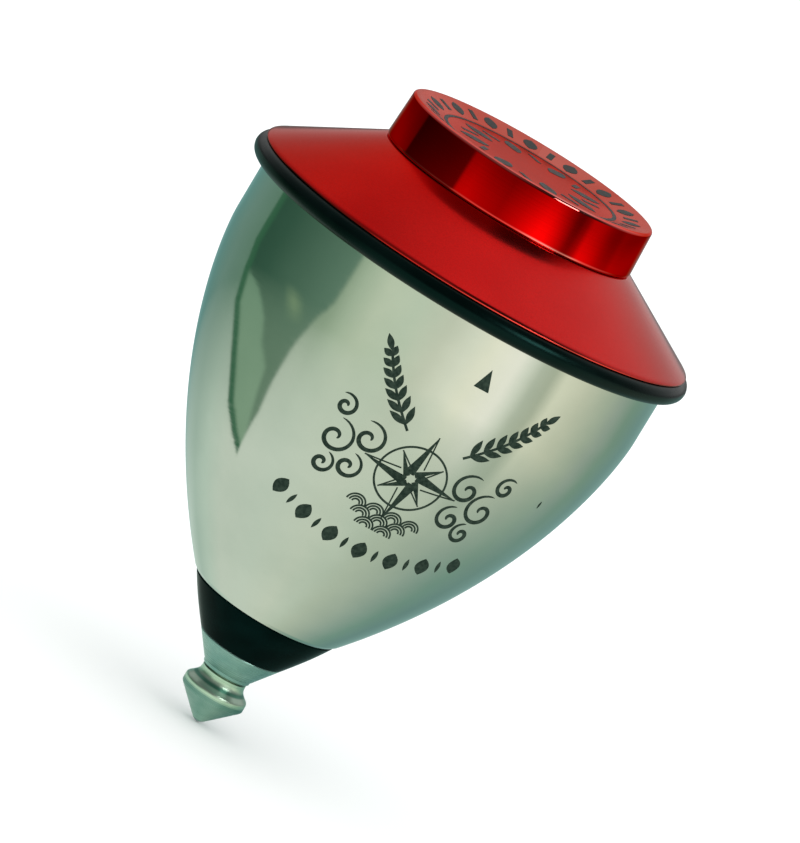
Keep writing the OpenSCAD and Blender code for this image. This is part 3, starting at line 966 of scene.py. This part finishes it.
# The band of the wall that the knob's side reflects.
AROUND_KNOB = by_bearing(
    (-180, 0.20), (-125, 0.17), (-106, 0.11), (-104, 0.022), (-83, 0.037), (-60, 0.056), (-45, 0.078),
    (-42, 0.34), (-34, 0.373), (-20, 0.283), (-4, 0.222), (3, 0.291), (12, 0.395), (20, 0.548), (31, 0.81),
    (37, 0.80), (44, 0.57), (50, 0.36), (56, 0.165), (60, 0.143), (66, 0.29), (71, 0.615), (78, 0.574),
    (85, 0.467), (92, 0.32), (98, 0.244), (104, 0.23), (111, 0.31), (121, 0.28), (150, 0.25), (180, 0.20),
)
KNOB_BAND_FADE = (0.044, 0.052)
# Upper wall and ceiling, which the crown and the knob's top reflect: bright behind, dark in front.
CEILING = by_bearing(
    (-180, 0.88), (-162, 0.82), (-145, 0.77), (-135, 0.64), (-112, 0.46), (-90, 0.26), (-60, 0.20),
    (-12, 0.20), (6, 0.10), (25, 0.05), (76, 0.06), (95, 0.32), (112, 0.64), (135, 0.88), (150, 0.88),
    (168, 0.91), (180, 0.88),
)
CEILING_FADE = (0.066, 0.078)

# A dark panel stands at the left, with a fold in it and a soft light patch behind the fold. Its edges,
# the fold and the patch are (rise on the tent, bearing as 0..1) pairs.
PANEL_LOW = -0.155
PANEL_HIGH = 0.03
PANEL_LEFT = (
    (-0.155, 0.306), (-0.147, 0.279), (-0.137, 0.256), (-0.111, 0.232), (-0.075, 0.203), (-0.030, 0.195),
    (0.03, 0.192),
)
PANEL_FOLD = ((-0.118, 0.316), (-0.104, 0.294), (-0.083, 0.280), (-0.050, 0.247), (-0.020, 0.198))
PANEL_RIGHT = (
    (-0.155, 0.306), (-0.139, 0.333), (-0.111, 0.345), (-0.070, 0.358), (0.0, 0.369), (0.03, 0.377),
)
PANEL_PATCH = ((-0.070, 0.330), (-0.040, 0.317), (0.0, 0.303))
# Its tones: behind the fold, in front of it, on the patch, and along its left edge.
PANEL_TOP = by_bearing(
    (-112, (0.040, 0.115, 0.075)), (-92, (0.055, 0.145, 0.095)), (-74, (0.095, 0.205, 0.14)),
    (-46, (0.175, 0.32, 0.23)),
)
PANEL_FOOT = (0.20, 0.33, 0.23)
PANEL_NEAR_TOP = (0.22, 0.40, 0.27)
PANEL_NEAR_FOOT = (0.33, 0.52, 0.36)
PATCH_TONE = (0.32, 0.48, 0.28)
BORDER_TONE = (0.055, 0.185, 0.10)


def panel_place(g, rise, places):
    """Bearing of one of the panel's lines, which bend with the rise."""
    span = PANEL_HIGH - PANEL_LOW
    share = g.remap(rise, PANEL_LOW, PANEL_HIGH, 0.0, 1.0)
    return g.ramp(share, [((height - PANEL_LOW) / span, bearing) for height, bearing in places])


def panel_tone(g, bearing, rise, past_left):
    """Tones of the dark panel."""
    behind = g.mix(g.remap(rise, -0.130, -0.010, 0.0, 1.0), PANEL_FOOT, g.ramp(bearing, PANEL_TOP))
    near = g.mix(g.remap(rise, -0.130, -0.030, 0.0, 1.0), PANEL_NEAR_FOOT, PANEL_NEAR_TOP)
    past_fold = g.math("SUBTRACT", bearing, panel_place(g, rise, PANEL_FOLD))
    tone = g.mix(g.remap(past_fold, -0.004, 0.004, 0.0, 1.0), near, behind)
    off_patch = g.math("ABSOLUTE", g.math("SUBTRACT", bearing, panel_place(g, rise, PANEL_PATCH)))
    patch = g.remap(off_patch, 0.002, 0.020, 0.75, 0.0)
    patch = g.math("MULTIPLY", patch, g.remap(rise, -0.075, -0.045, 0.0, 1.0))
    patch = g.math("MULTIPLY", patch, g.remap(rise, -0.035, 0.005, 1.0, 0.0))
    tone = g.mix(patch, tone, PATCH_TONE)
    return g.mix(g.remap(past_left, 0.012, 0.020, 0.0, 1.0), BORDER_TONE, tone)


def lower_tones(g, bearing):
    """What the body reflects: the floor and the wall round it, with the dark panel in front of them."""
    # rise: height on the wall, and minus the distance from the wall on the floor
    from_wall = g.math("MINIMUM", g.math("SUBTRACT", g.radius, TENT_R * WALL_SHARE), 0.0)
    rise = g.math("ADD", g.z, from_wall)
    on_wall = g.remap(rise, *FLOOR_FADE, 0.0, 1.0)
    room = g.mix(on_wall, g.ramp(bearing, UNDER_BODY), g.ramp(bearing, AROUND_BODY))
    past_left = g.math("SUBTRACT", bearing, panel_place(g, rise, PANEL_LEFT))
    before_right = g.math("SUBTRACT", panel_place(g, rise, PANEL_RIGHT), bearing)
    right_of_edge = g.remap(past_left, 0.0, 0.003, 0.0, 1.0)
    left_of_edge = g.remap(before_right, 0.0, 0.006, 0.0, 1.0)
    inside = g.math("MULTIPLY", right_of_edge, left_of_edge)
    return g.mix(inside, room, panel_tone(g, bearing, rise, past_left))


def upper_tones(g, bearing):
    """What the knob and the crown reflect: a band of the wall, and the ceiling."""
    # the knob's sides reflect a lower part of the wall than its front does
    to_side = g.math("SUBTRACT", 1.0, g.math("COSINE", g.turn()))
    level = g.math("ADD", g.z, g.math("MULTIPLY", to_side, 0.008))
    band = g.gain(g.ramp(bearing, AROUND_KNOB), g.remap(level, 0.0625, 0.0675, 1.60, 0.72))
    ceiling = g.gain(g.ramp(bearing, CEILING), g.remap(g.z, 0.12, 0.19, 0.62, 1.0))
    return g.mix(g.remap(g.z, *CEILING_FADE, 0.0, 1.0), band, ceiling)


def build_tent():
    """A closed light tent; its tones depend on the direction and on how low the point lies."""
    g = Glow("tent_light")
    bearing = g.bearing()
    tones = g.mix(g.remap(g.z, *KNOB_BAND_FADE, 0.0, 1.0), lower_tones(g, bearing), upper_tones(g, bearing))
    g.link(tones, g.emission.inputs["Color"])
    bm = bmesh.new()
    bmesh.ops.create_uvsphere(bm, u_segments=128, v_segments=64, radius=TENT_R)
    lowest = 0.0003
    for v in bm.verts:
        v.co.z = max(v.co.z + TENT_RISE, lowest)
    only_in_reflections(finish_mesh(bm, "light_tent", g.material))


def build_window():
    """A small bright card at the upper right, for the highlights on rounded edges."""
    card_size = 0.028
    distance = 0.165
    bearing = math.radians(42)
    height = math.radians(27)
    g = Glow("window_light")
    side = g.remap(g.noise(30, 2), 0.3, 0.7, 0.8, 1.0)
    g.link(g.mix(side, (0.5, 0.5, 0.5), (1.0, 1.0, 0.97)), g.emission.inputs["Color"])
    g.emission.inputs["Strength"].default_value = 8.0
    level = Vector((math.sin(bearing), -math.cos(bearing), 0))
    away = level * math.cos(height) + Vector((0, 0, math.sin(height)))
    bm = bmesh.new()
    bmesh.ops.create_grid(bm, x_segments=1, y_segments=1, size=card_size)
    obj = finish_mesh(bm, "window_card", g.material)
    obj.location = Vector((0, 0, 0.045)) + away * distance
    obj.rotation_euler = away.to_track_quat("-Z", "Y").to_euler()
    only_in_reflections(obj)


def build_floor():
    """A matt white floor just below the tip."""
    s = Shader("studio_floor", (0.9, 0.9, 0.9), 0.0, 0.9, Specular_IOR_Level=0.1)
    s.color(s.mix(s.noise(3, 2), (0.895, 0.90, 0.90), (0.915, 0.915, 0.91)))
    bm = bmesh.new()
    bmesh.ops.create_grid(bm, x_segments=1, y_segments=1, size=6.0)
    obj = finish_mesh(bm, "studio_floor", s.material)
    obj.location.z = -0.0001


def area_light(name, place, aim, size, power, color):
    """A soft round light, which doesn't show in reflections."""
    data = bpy.data.lights.new(name, "AREA")
    data.shape = "DISK"
    data.size = size
    data.energy = power
    data.color = color
    obj = bpy.data.objects.new(name, data)
    bpy.context.scene.collection.objects.link(obj)
    obj.location = place
    obj.rotation_euler = (Vector(aim) - Vector(place)).to_track_quat("-Z", "Y").to_euler()
    obj.visible_glossy = False


def build_studio():
    """A white room with two soft lights; mirrored rays see the tent, the card and the pieces instead."""
    world = bpy.data.worlds.new("studio_world")
    world.use_nodes = True
    background = world.node_tree.nodes["Background"]
    background.inputs["Color"].default_value = (0.98, 1.0, 1.0, 1)
    background.inputs["Strength"].default_value = 1.3
    bpy.context.scene.world = world
    bpy.context.scene.view_settings.view_transform = "Standard"
    middle = (0, 0, 0.04)
    area_light("soft_key", (-0.5, -0.6, 0.9), middle, size=0.9, power=1.4, color=(1.0, 0.99, 0.97))
    area_light("soft_fill", (0.7, -0.3, 0.7), middle, size=0.8, power=0.9, color=(0.96, 0.99, 1.0))
    build_floor()
    build_tent()
    build_window()


build_studio()


# ---------------------------------------------------------------- camera

def build_camera():
    """The camera looks slightly down on the top, rolled so that the top leans to the right."""
    elevation = math.radians(10.34)
    roll = math.radians(31.09)
    distance = 730.0
    offset_right = 0.23
    offset_up = 4.68
    data = bpy.data.cameras.new("camera")
    data.lens = 274.4
    data.sensor_width = 36.0
    data.clip_start = 0.01
    data.clip_end = 20.0
    obj = bpy.data.objects.new("camera", data)
    bpy.context.scene.collection.objects.link(obj)
    back = Vector((0, -math.cos(elevation), math.sin(elevation)))
    level = Vector((1, 0, 0))
    upright = Vector((0, math.sin(elevation), math.cos(elevation)))
    right = level * math.cos(roll) + upright * math.sin(roll)
    up = upright * math.cos(roll) - level * math.sin(roll)
    look_at = Vector((0, 0, 46.4))
    place = look_at + back * distance
    aim = look_at - right * offset_right - up * offset_up
    forward = (aim - place).normalized()
    right = (right - forward * right.dot(forward)).normalized()
    turn = Matrix((right, right.cross(forward), -forward)).transposed()
    obj.matrix_world = Matrix.Translation(place * MM) @ turn.to_4x4()
    bpy.context.scene.camera = obj


build_camera()
